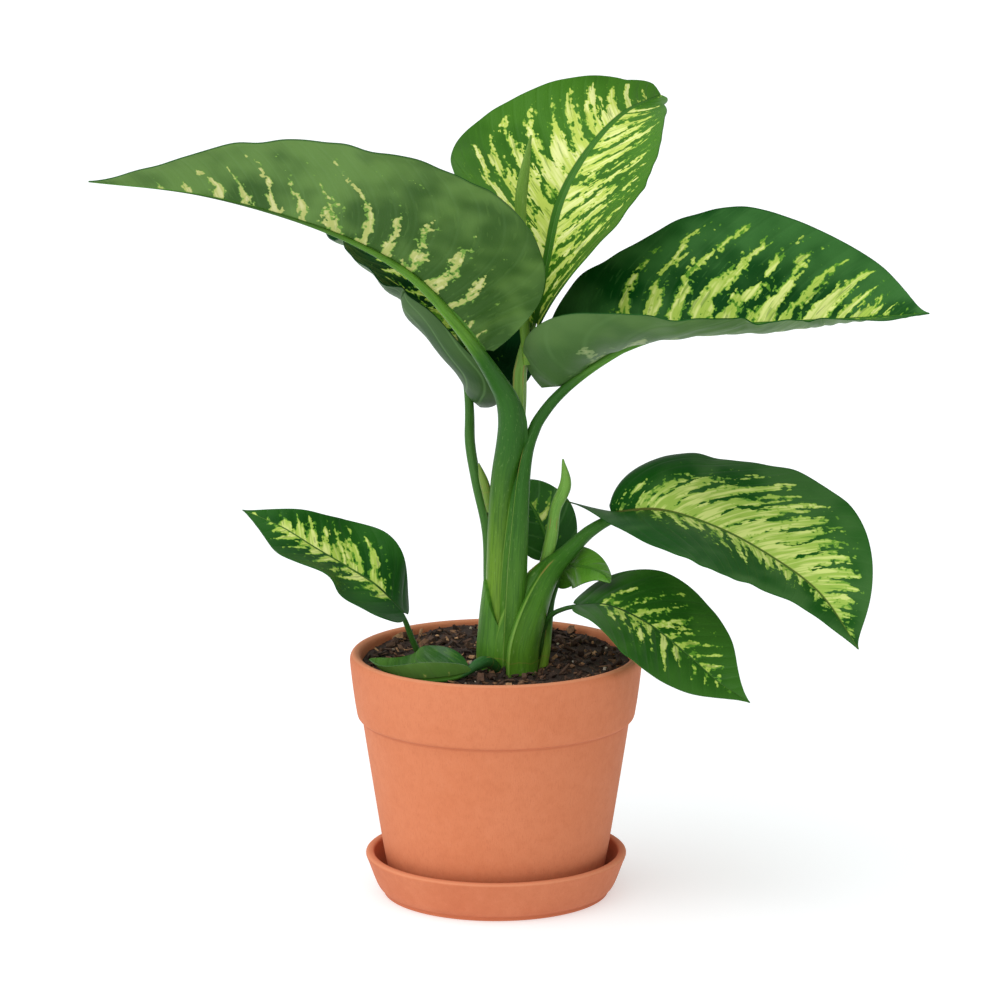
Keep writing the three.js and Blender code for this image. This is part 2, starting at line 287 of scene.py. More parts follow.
def makeClayGroup():
    # fired clay, shared by the pot and the saucer
    # two heights in metres give lines round the piece: a dark line of painted shade under the pot's band
    # and at the saucer's foot, where shadow falls, and a pale line of painted highlight along the top of
    # the rim
    g, ask, give = startGroup("firedClay", {
        "Place": None, "Clay": (204, 118, 76), "Pale": (212, 130, 90), "Dark": (184, 98, 62),
        "Edge": (226, 150, 110), "Rings": 0.5, "Shade Line Height": 0.1045, "Highlight Line Height": 0.1436,
    })
    spot = parted(g, ask["Place"])
    ringPlace = joined(g, times(g, spot[0], 6.0), times(g, spot[1], 6.0), spot[2])
    rings = grain(g, ringPlace, 260.0, 3.0, 0.6)
    broad = grain(g, ask["Place"], 14.0, 3.0, 0.55)
    mottle = grain(g, ask["Place"], 170.0, 5.0, 0.65)
    sand = grain(g, ask["Place"], 1300.0, 2.0, 0.6)
    # painted shade: a thin dark line under the pot's band and at the saucer's foot, where shadow falls
    paintedShadeLine = step(g, absolute(g, minus(g, spot[2], ask["Shade Line Height"])), 0.0016, 0.0003)
    # painted highlight: a thin pale line along the top of the rim, where light catches it
    rim = step(g, absolute(g, minus(g, spot[2], ask["Highlight Line Height"])), 0.0012, 0.0002)
    colour = wash(g, step(g, broad, 0.3, 0.7), 0.45, ask["Clay"], ask["Pale"])
    colour = wash(g, step(g, mottle, 0.45, 0.72), 0.22, colour, ask["Dark"])
    colour = wash(g, step(g, mottle, 0.5, 0.28), 0.25, colour, ask["Pale"])
    colour = wash(g, step(g, rings, 0.52, 0.7), 0.3, colour, ask["Dark"])
    colour = wash(g, paintedShadeLine, 0.5, colour, ask["Dark"])
    # the pale Edge colour here is the painted highlight on the rim
    colour = wash(g, rim, 0.55, colour, ask["Edge"])
    colour = wash(g, step(g, sand, 0.66, 0.8), 0.45, colour, ask["Dark"])
    height = times(g, rings, ask["Rings"])
    height = plus(g, height, times(g, mottle, 0.35))
    height = plus(g, height, times(g, sand, 0.25))
    endGroup(g, give, Color=colour, Roughness=timesPlus(g, mottle, 0.12, 0.74), Height=height)
    return g


clayGroup = makeClayGroup()


def clayMaterial(name, look):
    material, tree = newMaterial(name)
    place = addNode(tree, "TexCoord").outputs["Object"]
    groupSurface(tree, clayGroup, {"Place": place, **look}, depth=0.4 * mm)
    return material


def turnedPiece(name, form, capped):
    # a ring drawn up along its profile
    clearSelection()
    profile = form["profile"]
    radius, height = profile[0]
    bpy.ops.mesh.primitive_circle_add(
        vertices=form["turns"], radius=radius * mm, location=(0, 0, height * mm), fill_type="NOTHING",
    )
    piece = newPiece(name)
    settle(piece)
    startEdit()
    for (oldRadius, oldHeight), (radius, height) in zip(profile, profile[1:]):
        rise = (0, 0, (height - oldHeight) * mm)
        bpy.ops.mesh.extrude_edges_move(TRANSFORM_OT_translate={"value": rise})
        share = radius / oldRadius
        bpy.ops.transform.resize(value=(share, share, 1), center_override=(0, 0, height * mm))
    bpy.ops.mesh.select_all(action="SELECT")
    bpy.ops.mesh.remove_doubles(threshold=0.01 * mm)
    if capped:
        bpy.ops.mesh.fill_holes(sides=0)
    faceOutwards()
    endEdit()
    rounding = piece.modifiers.new("rounding", "SUBSURF")
    rounding.levels = rounding.render_levels = form["rounding"]
    applyModifiers(piece)
    smooth(piece)
    return piece


pot = {
    "turns": 80,        # points round the pot
    "rounding": 2,
    "profile": [        # radius and height in mm: base, wall, band, rim, inner wall, floor, drain hole
        (10, 6.3), (11, 6.3), (58, 6.3), (60.8, 6.4), (61.7, 7.4), (64.8, 21), (71, 60), (77.2, 100),
        (77.6, 103.6), (77.9, 104.8), (79, 105.2), (80.2, 105.8), (80.9, 107.4), (81.3, 110.5),
        (82.0, 114), (83.6, 126), (84.9, 138), (85, 140), (84.6, 141.9), (83.6, 143.4),
        (82.2, 144), (80.4, 143.6), (79, 142.4), (78.3, 140.8), (77.6, 134), (75.4, 112),
        (70.4, 101), (57, 17.5), (56, 15), (53, 13.4), (50, 13.3), (11, 13.3), (10, 13.3), (10, 6.3),
    ],
    "look": {"Rings": 0.55},
}
potPiece = turnedPiece("clayPot", pot, capped=False)
potPiece.data.materials.append(clayMaterial("potClay", pot["look"]))
finished(potPiece, "pot_clay", "pot")

saucer = {
    "turns": 80,
    "rounding": 2,
    "profile": [
        (20, 0.4), (59, 0.4), (60.5, 0), (64.8, 0), (65.8, 0.4), (66.1, 1.3), (65.9, 2.1), (66.4, 2.7),
        (68, 3.7), (69.6, 6), (71.3, 10), (73.1, 15), (74.9, 20), (76.1, 22.6), (76.3, 23.8),
        (75.6, 24.7), (74.4, 25.1), (73, 25.2), (71.9, 24.9), (71.2, 24), (70.4, 21), (67.6, 13.4),
        (65, 8.6), (63.6, 6.8), (61, 6), (20, 6),
    ],
    "look": {"Rings": 0.4, "Clay": (196, 110, 71), "Shade Line Height": 0.0021, "Highlight Line Height": 0.0246},
}
saucerPiece = turnedPiece("claySaucer", saucer, capped=True)
saucerPiece.data.materials.append(clayMaterial("saucerClay", saucer["look"]))
finished(saucerPiece, "saucer_clay", "saucer")
print("pot and saucer made")


soil = {
    "edge": 77.6,       # mm, where the bed meets the pot
    "points": 96,       # round the edge
    "rings": 34,
    "ringWidth": 2.2,
    "skirt": 6,         # mm, how far the edge goes down
    "skirtTaper": 0.992,
    "level": 136.2,
    "tilt": 3.2,        # degrees, up towards the back
    "mound": 1.2,       # mm higher behind the middle
    "bump": 1.7,
    "grain": 1.2,       # mm, how deep the finest bumps are
    "tones": [(0.0, (30, 21, 16)), (0.5, (56, 39, 29)), (1.0, (86, 62, 46))],
}
bark = {
    "kinds": (  # length, width and thickness of flakes, splinters and crumbs
        (1, 0.6, 0.2), (1.2, 0.35, 0.25), (0.8, 0.7, 0.4),
        (1.1, 0.5, 0.16), (0.7, 0.6, 0.6), (1.3, 0.28, 0.18),
    ),
    "seed": 5,
    "count": 1600,
    "sizes": (2.0, 5.4),   # mm; one in four may be half as large again
    "sink": 0.3,           # how deep a chip may lie, as a share of its size
    "margin": 2.5,         # mm kept free along the pot
    "scatterSeed": 6,
    "grain": 0.9,
    "tones": [
        (0.0, (36, 25, 19)), (0.4, (64, 45, 34)), (0.75, (92, 66, 49)),
        (0.9, (122, 88, 64)), (0.96, (158, 116, 80)), (1.0, (194, 152, 112)),
    ],
}
perlite = {
    "count": 34,
    "sizes": (1.2, 2.2),
    "sink": -0.1,
    "margin": 5,
    "scatterSeed": 7,
    "grain": 0.4,
    "tones": [(0.0, (176, 160, 140)), (1.0, (226, 214, 198))],
}


def soilHeight(x, y):
    # all in mm
    slope = math.tan(math.radians(soil["tilt"]))
    rise = soil["mound"] * math.exp(-((x - 5) ** 2 + (y - 30) ** 2) / 40 ** 2)
    lump = noise.noise(Vector((x / 14, y / 14, 3.0))) + 0.6 * noise.noise(Vector((x / 5, y / 5, 8.0)))
    return soil["level"] + y * slope + rise + soil["bump"] * lump


clearSelection()
bpy.ops.mesh.primitive_circle_add(vertices=soil["points"], radius=soil["edge"] * mm, fill_type="NGON")
soilPiece = newPiece("soilBed")
startEdit()
for _ in range(soil["rings"]):
    bpy.ops.mesh.inset(thickness=soil["ringWidth"] * mm)
endEdit()
for vertex in soilPiece.data.vertices:
    vertex.co.z = soilHeight(vertex.co.x / mm, vertex.co.y / mm) * mm
startEdit()
bpy.ops.mesh.select_all(action="DESELECT")
bpy.ops.mesh.select_non_manifold()
bpy.ops.mesh.extrude_edges_move(TRANSFORM_OT_translate={"value": (0, 0, -soil["skirt"] * mm)})
share = soil["skirtTaper"]
bpy.ops.transform.resize(value=(share, share, 1), center_override=(0, 0, 0))
bpy.ops.mesh.fill_holes(sides=0)
faceOutwards()
endEdit()
smooth(soilPiece)


def chipShapes():
    # each kind of chip is modelled once
    shapes = []
    rng = random.Random(bark["seed"])
    for kind in bark["kinds"]:
        clearSelection()
        bpy.ops.mesh.primitive_cube_add(size=1)
        chip = newPiece("chip")
        chip.scale = kind
        settle(chip)
        startEdit()
        bpy.ops.mesh.bevel(offset=0.09, segments=1, affect="EDGES")
        endEdit()
        for vertex in chip.data.vertices:
            vertex.co *= rng.uniform(0.7, 1.2)
            vertex.co.z += 0.12 * math.sin(vertex.co.x * 4)
        shapes.append(chip)
    return shapes


def scatter(name, shapes, loose):
    rng = random.Random(loose["scatterSeed"])
    inside = soil["edge"] - loose["margin"]
    small, large = loose["sizes"]
    copies = []
    while len(copies) < loose["count"]:
        x, y = rng.uniform(-inside, inside), rng.uniform(-inside, inside)
        if math.hypot(x, y) > inside:
            continue
        length = rng.uniform(small, large if rng.random() < 0.75 else large * 1.5)
        turn = Matrix.Rotation(rng.uniform(0, math.tau), 4, "Z")
        lean = Matrix.Rotation(rng.gauss(0, 0.5), 4, "X") @ Matrix.Rotation(rng.gauss(0, 0.4), 4, "Y")
        lift = length * rng.uniform(-loose["sink"], 0.45)
        place = Matrix.Translation((x * mm, y * mm, (soilHeight(x, y) + lift) * mm))
        piece = rng.choice(shapes).copy()
        piece.data = piece.data.copy()
        piece.data.transform(place @ turn @ lean @ Matrix.Scale(length * mm, 4))
        shade = piece.data.attributes.new("chipTone", "FLOAT", "POINT")
        shade.data.foreach_set("value", [rng.random()] * len(piece.data.vertices))
        bpy.context.collection.objects.link(piece)
        copies.append(piece)
    selectOnly(*copies)
    bpy.ops.object.join()
    piece = newPiece(name)
    smooth(piece, 40)
    return piece


shapes = chipShapes()
chips = scatter("barkChips", shapes, bark)
grains = scatter("perliteGrains", shapes[4:5], perlite)
for shape in shapes:
    bpy.data.objects.remove(shape)


def soilMaterial(name, look, byChip):
    material, tree = newMaterial(name)
    place = addNode(tree, "TexCoord").outputs["Object"]
    fibre = grain(tree, place, 420.0, 5.0, 0.65)
    if byChip:
        chip = addNode(tree, "Attribute", attribute_name="chipTone").outputs["Fac"]
        level = timesPlus(tree, minus(tree, fibre, 0.5), 0.35, chip, clamp=True)
    else:
        level = timesPlus(tree, fibre, 1.6, -0.4, clamp=True)
    colours = addNode(tree, "ValToRGB", {"Fac": level})
    while len(colours.color_ramp.elements) < len(look["tones"]):
        colours.color_ramp.elements.new(0.5)
    for element, (position, colour) in zip(colours.color_ramp.elements, look["tones"]):
        element.position = position
        element.color = tone(*colour)
    surface(tree, colours.outputs[0], timesPlus(tree, fibre, 0.2, 0.75), fibre, look["grain"] * mm)
    return material


for piece, name, look, byChip, nodes in (
    (soilPiece, "compost", soil, False, ["soil"]),
    (chips, "bark", bark, True, []),
    (grains, "perlite", perlite, True, []),
):
    piece.data.materials.append(soilMaterial(name, look, byChip))
    finished(piece, "potting_soil", *nodes)
print("soil made")


def curveAt(points, u):
    # Catmull-Rom through points, u from 0 to 1
    p = np.asarray(points, float)
    ends = np.concatenate([2 * p[:1] - p[1:2], p, 2 * p[-1:] - p[-2:-1]])
    last = len(p) - 1
    x = np.clip(np.asarray(u, float) * last, 0, last)
    i = np.minimum(x.astype(int), last - 1)
    f = x - i
    if p.ndim > 1:
        f = f[:, None]
    a, b, c, d = ends[i], ends[i + 1], ends[i + 2], ends[i + 3]
    return 0.5 * (2 * b + (c - a) * f + (2 * a - 5 * b + 4 * c - d) * f ** 2
                  + (3 * b - a - 3 * c + d) * f ** 3)


def lengths(line):
    return np.r_[0, np.cumsum(np.linalg.norm(np.diff(line, axis=0), axis=1))]


def evenly(points, t):
    # the curve through points at shares t of its length, and that length
    u = np.linspace(0, 1, 600)
    run = lengths(curveAt(points, u))
    return curveAt(points, np.interp(np.asarray(t) * run[-1], run, u)), run[-1]


def unit(v):
    return v / np.linalg.norm(v, axis=-1, keepdims=True)


def across(v, direction):
    # what is left of v once its part along direction is gone
    return unit(v - (v * direction).sum(-1, keepdims=True) * direction)


def gridPiece(name, columns, rows, shape):
    # a grid whose every point is put in its place: shape takes shares across (-1 to 1) and
    # along (0 to 1), and gives the places in mm and two maps
    clearSelection()
    bpy.ops.mesh.primitive_grid_add(x_subdivisions=columns, y_subdivisions=rows, size=2)
    piece = newPiece(name)
    mesh = piece.data
    flat = np.zeros(len(mesh.vertices) * 3)
    mesh.vertices.foreach_get("co", flat)
    flat = flat.reshape(-1, 3)
    where, place, spread = shape(flat[:, 0], (flat[:, 1] + 1) / 2)
    mesh.vertices.foreach_set("co", (where * mm).ravel())
    corners = np.zeros(len(mesh.loops), int)
    mesh.loops.foreach_get("vertex_index", corners)
    for old in list(mesh.uv_layers):
        mesh.uv_layers.remove(old)
    for label, values in (("leafPlace", place), ("leafSize", spread * mm)):
        mesh.uv_layers.new(name=label).data.foreach_set("uv", values[corners].ravel())
    mesh.update()
    return piece


def closeSeams(piece):
    selectOnly(piece)
    startEdit()
    bpy.ops.mesh.remove_doubles(threshold=0.002 * mm)
    endEdit()


blades = {
    "thickness": 0.7,       # mm
    "columns": 56,
    "rows": 170,
    "bend": 0.004,          # how much more a side vein turns towards the tip per mm outwards
    "ripples": (29, 16),    # mm, the lengths of the bends along the halves
    "waves": (43, 24),      # mm, the lengths of the waves along the edge
    "grain": 0.4,           # mm, how deep the bumps are
    "underGloss": 0.2,      # of the undersides and the stalks
}
anyLeaf = {  # what a leaf has where its own dictionary doesn't say otherwise
    "pitch": 9.5,           # mm between side veins at the midrib
    "lean": (0.4, 0.5),     # how far side veins run tipwards per mm: at the base, and more at the tip
    "quilt": 0.16,          # mm the blade swells between side veins
    "ripple": 0.3,          # degrees the halves bend up and down
    "wave": 0.7,            # mm the edge waves
    "ease": 0.05,           # share of the midrib over which its direction is averaged
    "leftBase": 0.5,        # below 1 widens fast, above 1 slowly
    "rightBase": 0.5,
    "leftTip": 1.3,         # the same at the tip
    "rightTip": 1.3,
    "blunt": 0,             # more rounds the tip off
    "rightLift": 0,         # mm the right base lobe rises
    "ribShare": 0.85,       # how thick the midrib starts, as a share of the stalk's top
    "ribTaper": 0.9,
    "gloss": 0.12,
}


def outline(t, base, tip, blunt):
    # half the blade's width, from base to tip
    power = base + (tip - base) * t - blunt * np.clip((t - 0.88) / 0.12, 0, 1)
    close = np.clip((0.9955 - t) / 0.014, 0, 1) ** blunt
    return np.clip(np.sin(np.pi * t ** 0.7), 0, None) ** power * close


def bladeShape(leaf):
    def swell(distance, long, short, longShift, shortShift):
        # a long wave and a fainter short one
        turns = 2 * np.pi * distance
        return np.sin(turns / long + longShift) + 0.6 * np.sin(turns / short + shortShift)

    def shape(c, s):
        t = 0.0004 + 0.9946 * s ** 1.5
        centre, run = evenly(leaf["spine"], t)
        ahead, _ = evenly(leaf["spine"], np.clip(t + leaf["ease"], 0, 1))
        behind, _ = evenly(leaf["spine"], np.clip(t - leaf["ease"], 0, 1))
        tangent = unit(ahead - behind)
        first, last = (np.array(v, float) for v in leaf["face"])
        up = across(first + (last - first) * t[:, None], tangent)
        side = np.cross(tangent, up)
        right = c > 0
        sign = np.where(right, 1.0, -1.0)
        v = np.abs(c) ** 1.35
        along = t * run

        # each half bends up from the midrib and curls on towards its edge
        fold = np.radians(np.where(right, curveAt(leaf["right"], t), curveAt(leaf["left"], t)))
        ripple = swell(along, *blades["ripples"], 1.3, 0)
        fold = fold + np.radians(leaf["ripple"]) * ripple * np.clip(t * 8, 0, 1)
        curl = np.radians(np.where(right, curveAt(leaf["rightCurl"], t), curveAt(leaf["leftCurl"], t)))
        curl = np.where(np.abs(curl) < 1e-4, 1e-4, curl)
        width = np.where(right, leaf["width"], leaf.get("leftWidth", leaf["width"]))
        base = np.where(right, leaf["rightBase"], leaf["leftBase"])
        tip = np.where(right, leaf["rightTip"], leaf["leftTip"])
        reach = width * outline(t, base, tip, leaf["blunt"])
        slope = fold + curl * v
        out = reach * (np.sin(slope) - np.sin(fold)) / curl
        rise = reach * (np.cos(fold) - np.cos(slope)) / curl
        lobed = np.clip(1 - t / 0.3, 0, None) ** 2 * v ** 1.3
        back = np.where(right, leaf.get("rightLobe", leaf["lobe"]), leaf["lobe"]) * lobed
        rise = rise + np.where(right, leaf["rightLift"], 0) * lobed
        where = centre + side * (sign * out)[:, None] + up * rise[:, None] - tangent * back[:, None]
        facing = up * np.cos(slope)[:, None] - side * (sign * np.sin(slope))[:, None]

        # quilting between the side veins and waves along the edge
        x = reach * v
        y = along - back
        lean, leanMore = leaf["lean"]
        vein = y - x * (lean + leanMore * t + blades["bend"] * x)
        scale = min(1, leaf["width"] / 60)
        window = np.clip(x / 6, 0, 1) * np.clip((1 - v) * 4, 0, 1)
        quilt = -leaf["quilt"] * scale * np.cos(2 * np.pi * vein / leaf["pitch"]) * window
        turn = sign + leaf["width"]
        wave = leaf["wave"] * scale * v ** 3 * swell(y, *blades["waves"], turn, 2 * turn)
        lift = quilt + wave * np.clip(t * 8, 0, 1) * np.clip((1 - t) * 6, 0, 1)
        where = where + facing * lift[:, None]
        return where, np.stack([np.sign(c) * v, t], 1), np.stack([sign * x, y], 1)
    return shape


stalks = {
    "columns": 28,
    "rows": 150,
    "points": 60,         # along the stalk, and again along the midrib
    "tip": 0.3,           # mm, the midrib's radius at the leaf's tip
    "sunk": 0.85,         # share of the midrib's radius that lies below the blade
    "easing": 30,
    "groove": 0.35,       # depth of a sheath's groove, as a share of the radius
    "wing": 0.3,          # height of its two edges
    "wingAngle": 0.6,     # radians from the groove to each edge
    "grain": 0.3,         # mm
}


def rodLine(leaf):
    # stalk and midrib are one tapering rod from the soil to the leaf's tip
    shares = np.linspace(0, 1, stalks["points"])
    lower, _ = evenly(leaf["stalk"][::-1], shares)
    lowerRadius = curveAt(leaf["radii"][::-1], shares)
    t = np.linspace(0, 0.97, stalks["points"])
    centre, _ = evenly(leaf["spine"], t)
    ahead, _ = evenly(leaf["spine"], t + 0.01)
    tangent = unit(ahead - centre)
    first, last = (np.array(v, float) for v in leaf["face"])
    up = across(first + (last - first) * t[:, None], tangent)
    tip = stalks["tip"]
    radius = tip + (lowerRadius[-1] - tip) * leaf["ribShare"] * (1 - t) ** leaf["ribTaper"]
    upper = centre - up * (radius * stalks["sunk"])[:, None]
    keep = lengths(upper) > 4
    line = np.concatenate([lower[:-2], upper[keep]])
    thick = np.concatenate([lowerRadius[:-2], radius[keep]])
    knee = len(lower) - 2
    before, near, after = slice(knee - 9, knee + 8), slice(knee - 8, knee + 9), slice(knee - 7, knee + 10)
    for _ in range(stalks["easing"]):  # ease the line where stalk and midrib meet
        line[near] = 0.5 * line[near] + 0.25 * (line[before] + line[after])
        thick[near] = 0.5 * thick[near] + 0.25 * (thick[before] + thick[after])
    return line, thick, knee, up[0]


def rodShape(line, thick, knee, up, sheath):
    run = lengths(line)
    tangent = unit(np.gradient(line, axis=0))
    ups = np.zeros_like(line)
    ups[knee] = across(up, tangent[knee])
    for i in range(knee - 1, -1, -1):
        ups[i] = across(ups[i + 1], tangent[i])
    for i in range(knee + 1, len(line)):
        ups[i] = across(ups[i - 1], tangent[i])
    stalkRun = run[knee]

    def shape(c, s):
        # the first and last rows draw in to a point
        at = np.clip((s - 0.008) / 0.984, 0, 1) * run[-1]
        centre, direction, top = (
            np.stack([np.interp(at, run, rows[:, k]) for k in range(3)], 1) for rows in (line, tangent, ups)
        )
        direction = unit(direction)
        top = across(top, direction)
        other = np.cross(direction, top)
        radius = np.interp(at, run, thick)
        ends = (s > 0.001) & (s < 0.999)
        wrap = np.clip((sheath * stalkRun - at) / 12, 0, 1)
        angle = np.pi * c
        groove = stalks["groove"] * np.exp(-(angle / 0.35) ** 2)
        wing = stalks["wing"] * np.exp(-((np.abs(angle) - stalks["wingAngle"]) / 0.16) ** 2)
        r = radius * ends * (1 + wrap * (wing - groove))
        where = centre + top * (r * np.cos(angle))[:, None] + other * (r * np.sin(angle))[:, None]
        return where, np.stack([c, at / stalkRun], 1), np.stack([angle * radius, at], 1)
    return shape


def makeBladeGroup():
    # ground green, pale flames that follow the side veins, specks, midrib and margin
    g, ask, give = startGroup("variegatedBlade", {
        "Place": None, "Size": None, "Length": 150.0, "Pitch": 9.5, "Lean": 0.4, "Lean More": 0.5,
        "Seed": 0.0, "Rib Width": 1.5, "Bare Base": 0.1,
        "Left Amount": 0.5, "Left Reach": 0.7, "Left Spacing": 14.0,
        "Right Amount": 0.5, "Right Reach": 0.7, "Right Spacing": 14.0,
        "Flames": 1.3, "Patches": 0.9, "Rags": 1.0, "Taper": 1.5, "Tall": 0.5, "Strokes": 0.6,
        "Slits": 0.0, "Specks": 0.8, "Flecks": 0.4, "Lines": 0.05, "Rough": 0.36,
        "Ground": (28, 84, 30), "Ground Light": (44, 104, 40), "Edge": (110, 160, 60),
        "Yellow": (200, 215, 110), "Cream": (230, 235, 160), "Rib": (70, 130, 45),
        "Line": (110, 155, 95),
    })
    place = parted(g, ask["Place"])
    size = parted(g, ask["Size"])
    share = absolute(g, place[0])
    t = place[1]
    right = calc(g, "GREATER_THAN", place[0], 0.0)
    x = times(g, absolute(g, size[0]), 1000.0)
    y = times(g, size[1], 1000.0)
    lean = timesPlus(g, t, ask["Lean More"], ask["Lean"])
    lean = timesPlus(g, x, blades["bend"], lean)
    ahead = minus(g, y, times(g, x, lean))  # mm along the midrib, by side vein
    seed = timesPlus(g, right, 7.3, ask["Seed"])

    def flatGrain(first, second, firstLength, secondLength, shift, detail, rough):
        # lengths in mm of what it draws along the first and second direction
        spot = joined(g, over(g, first, firstLength), over(g, second, secondLength), plus(g, seed, shift))
        return grain(g, spot, 1.0, detail, rough)

    def veinGrain(acrossVeins, alongVeins, shift, detail, rough=0.55):
        return flatGrain(ahead, x, acrossVeins, alongVeins, shift, detail, rough)

    def plainGrain(length, shift, detail):
        return flatGrain(x, y, length, length, shift, detail, 0.6)

    def lifted(base, noise, strength):
        # base raised or lowered by noise
        return timesPlus(g, timesPlus(g, noise, 2.0, -1.0), strength, base)

    def upAndDown(turns):
        # 0 to 1 and back in each turn
        return times(g, calc(g, "PINGPONG", turns, 0.5), 2.0)

    spacing = pick(g, right, ask["Left Spacing"], ask["Right Spacing"])
    wander = plainGrain(34.0, 51.0, 1.0)
    wiggle = plainGrain(7.0, 57.0, 2.0)
    swing = over(g, ahead, spacing)
    swing = lifted(swing, wander, 0.7)
    swing = lifted(swing, wiggle, 0.3)
    wave = upAndDown(swing)
    patches = veinGrain(12.0, 20.0, 0.0, 1.0)
    rags = veinGrain(4.6, 10.0, 11.0, 1.6, 0.6)
    crumbs = plainGrain(3.0, 23.0, 1.5)
    dashes = veinGrain(2.2, 11.0, 37.0, 1.0, 0.6)
    strokes = veinGrain(2.3, 16.0, 83.0, 1.0)
    tall = grain(g, joined(g, over(g, ahead, 8.0), 0.0, plus(g, seed, 61.0)), 1.0, 1.0)
    vein = upAndDown(over(g, ahead, ask["Pitch"]))

    # how pale the leaf is here: it shows above 0
    amount = pick(g, right, ask["Left Amount"], ask["Right Amount"])
    reach = pick(g, right, ask["Left Reach"], ask["Right Reach"])
    level = minus(g, amount, calc(g, "POWER", over(g, share, reach), ask["Taper"]))
    level = lifted(level, tall, ask["Tall"])
    level = timesPlus(g, minus(g, wave, 0.5), ask["Flames"], level)
    level = lifted(level, patches, ask["Patches"])
    level = lifted(level, rags, ask["Rags"])
    level = lifted(level, crumbs, times(g, ask["Rags"], 0.7))
    slit = times(g, step(g, wave, 0.34, 0.08), step(g, share, 0.04, 0.3))
    slit = times(g, slit, step(g, dashes, 0.4, 0.52))
    level = minus(g, level, times(g, slit, ask["Slits"]))
    level = timesPlus(g, step(g, t, 0.72, 0.97), -1.5, level)
    foot = minus(g, over(g, ahead, ask["Length"]), ask["Bare Base"])
    level = timesPlus(g, step(g, foot, 0.04, -0.08), -1.6, level)
    level = timesPlus(g, step(g, share, 0.8, 0.95), -1.0, level)

    # colours, one over another
    broad = plainGrain(40.0, 71.0, 2.0)
    broad = timesPlus(g, minus(g, share, 0.5), 0.12, broad)
    broad = timesPlus(g, minus(g, t, 0.5), 0.25, broad)
    colour = tint(g, step(g, broad, 0.36, 0.64), ask["Ground"], ask["Ground Light"])
    colour = wash(g, step(g, vein, 0.2, 0.03), times(g, ask["Lines"], patches), colour, ask["Line"])
    speck = times(g, step(g, crumbs, 0.62, 0.67), step(g, level, -0.75, -0.15))
    colour = wash(g, speck, ask["Specks"], colour, ask["Edge"])
    colour = tint(g, step(g, level, -0.04, 0.03), colour, ask["Edge"])
    bright = lifted(calc(g, "MINIMUM", level, 0.62), strokes, ask["Strokes"])
    bright = lifted(bright, patches, 0.5)
    colour = tint(g, step(g, bright, 0.14, 0.34), colour, ask["Yellow"])
    colour = tint(g, step(g, bright, 0.5, 0.9), colour, ask["Cream"])
    colour = wash(g, step(g, dashes, 0.62, 0.65), ask["Flecks"], colour, ask["Ground Light"])
    taper = calc(g, "POWER", calc(g, "SUBTRACT", 1.0, t, clamp=True), 0.6)
    rib = step(g, minus(g, x, times(g, taper, ask["Rib Width"])), 0.35, -0.25)
    colour = tint(g, rib, colour, ask["Rib"])
    colour = wash(g, step(g, share, 0.982, 0.995), 0.6, colour, ask["Ground"])

    # sunk side veins, fine ribs between them, a channel over the midrib
    ribs = calc(g, "PINGPONG", over(g, ahead, 1.6), 0.5)
    height = times(g, times(g, step(g, vein, 0.0, 0.4), patches), 0.6)
    height = timesPlus(g, ribs, 0.08, height)
    height = timesPlus(g, rags, 0.35, height)
    height = timesPlus(g, crumbs, 0.2, height)
    height = timesPlus(g, rib, -0.6, height)
    roughness = timesPlus(g, rags, 0.16, minus(g, ask["Rough"], 0.08))
    endGroup(g, give, Color=colour, Roughness=roughness, Height=height)
    return g


